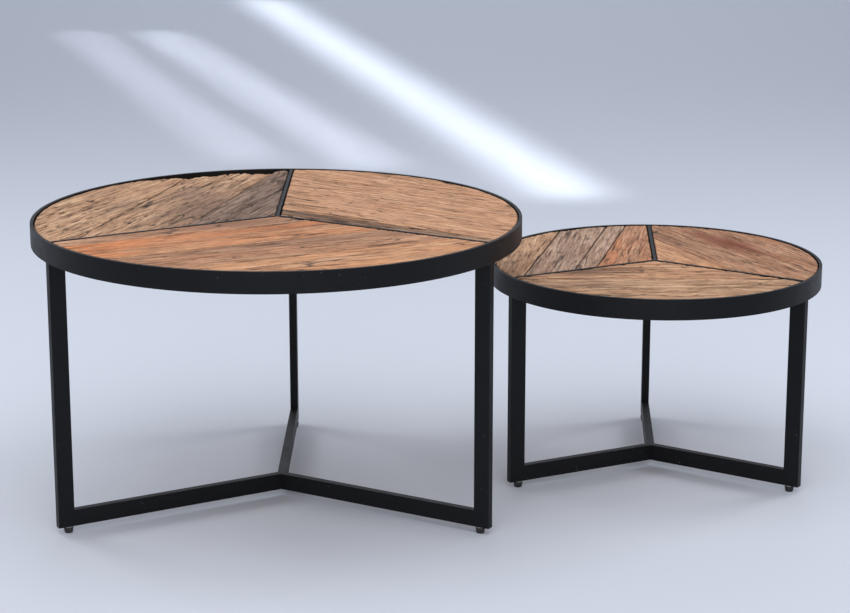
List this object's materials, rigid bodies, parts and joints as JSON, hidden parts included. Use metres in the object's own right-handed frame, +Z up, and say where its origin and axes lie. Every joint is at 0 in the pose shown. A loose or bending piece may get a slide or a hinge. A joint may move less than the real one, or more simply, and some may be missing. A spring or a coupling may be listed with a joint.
{
  "type": "nesting tables",
  "caption": "Round nesting tables: flat-bar steel rings with wedge-shaped panels of reclaimed planks, on tube legs joined by Y-shaped bases with levelling feet.",
  "frame": {"origin": "middle of the bounding box of both tables together, on the floor", "axes": "+X from the large table towards the small table, +Y towards the back leg of each table, +Z up"},
  "size_m": [1.2349, 0.791, 0.45],
  "materials": {
    "black_steel": "satin black powder coat",
    "wood_tan": "reclaimed, weathered, waxed",
    "wood_grey": "reclaimed, grey and splintered",
    "wood_orange": "reclaimed, orange heartwood",
    "wood_brown": "reclaimed, brown with grey streaks",
    "backing_board": "plain plywood",
    "foot_plastic": "moulded black plastic",
    "zinc_hardware": "zinc plated"
  },
  "bodies": {
    "large_table": {"large_board_front": "backing_board", "large_board_left": "backing_board", "large_board_right": "backing_board", "large_divider_back": "black_steel", "large_divider_left": "black_steel", "large_divider_right": "black_steel", "large_foot_inserts": "zinc_hardware", "large_leg_back": "black_steel", "large_leg_caps": "black_steel", "large_leg_left": "black_steel", "large_leg_right": "black_steel", "large_plank_front_1": "wood_brown", "large_plank_front_2": "wood_orange", "large_plank_front_3": "wood_brown", "large_plank_front_4": "wood_orange", "large_plank_left_1": "wood_grey", "large_plank_left_2": "wood_tan", "large_plank_left_3": "wood_tan", "large_plank_right_1": "wood_grey", "large_plank_right_2": "wood_tan", "large_plank_right_3": "wood_tan", "large_plank_right_4": "wood_tan", "large_rail_back": "black_steel", "large_rail_left": "black_steel", "large_rail_right": "black_steel", "large_rim": "black_steel", "large_screws": "zinc_hardware", "large_support_tabs": "black_steel"},
    "small_table": {"small_board_front": "backing_board", "small_board_left": "backing_board", "small_board_right": "backing_board", "small_divider_back": "black_steel", "small_divider_left": "black_steel", "small_divider_right": "black_steel", "small_foot_inserts": "zinc_hardware", "small_leg_back": "black_steel", "small_leg_caps": "black_steel", "small_leg_left": "black_steel", "small_leg_right": "black_steel", "small_plank_front_1": "wood_tan", "small_plank_front_2": "wood_tan", "small_plank_left_1": "wood_orange", "small_plank_left_2": "wood_grey", "small_plank_left_3": "wood_grey", "small_plank_left_4": "wood_brown", "small_plank_right_1": "wood_tan", "small_plank_right_2": "wood_tan", "small_plank_right_3": "wood_brown", "small_rail_back": "black_steel", "small_rail_left": "black_steel", "small_rail_right": "black_steel", "small_rim": "black_steel", "small_screws": "zinc_hardware", "small_support_tabs": "black_steel"},
    "large_foot_back": {"large_foot_back": "foot_plastic"},
    "large_foot_left": {"large_foot_left": "foot_plastic"},
    "large_foot_right": {"large_foot_right": "foot_plastic"},
    "small_foot_back": {"small_foot_back": "foot_plastic"},
    "small_foot_left": {"small_foot_left": "foot_plastic"},
    "small_foot_right": {"small_foot_right": "foot_plastic"}
  },
  "joints": [
    {"name": "nest_slide", "type": "slide", "parent": "large_table", "child": "small_table", "axis": [-1, 0, 0], "range_m": [-0.15, 0.34]},
    {"name": "large_foot_back_screw", "type": "slide", "parent": "large_table", "child": "large_foot_back", "axis": [0, 0, -1], "range_m": [0, 0.008]},
    {"name": "large_foot_left_screw", "type": "slide", "parent": "large_table", "child": "large_foot_left", "axis": [0, 0, -1], "range_m": [0, 0.008]},
    {"name": "large_foot_right_screw", "type": "slide", "parent": "large_table", "child": "large_foot_right", "axis": [0, 0, -1], "range_m": [0, 0.008]},
    {"name": "small_foot_back_screw", "type": "slide", "parent": "small_table", "child": "small_foot_back", "axis": [0, 0, -1], "range_m": [0, 0.008]},
    {"name": "small_foot_left_screw", "type": "slide", "parent": "small_table", "child": "small_foot_left", "axis": [0, 0, -1], "range_m": [0, 0.008]},
    {"name": "small_foot_right_screw", "type": "slide", "parent": "small_table", "child": "small_foot_right", "axis": [0, 0, -1], "range_m": [0, 0.008]}
  ]
}
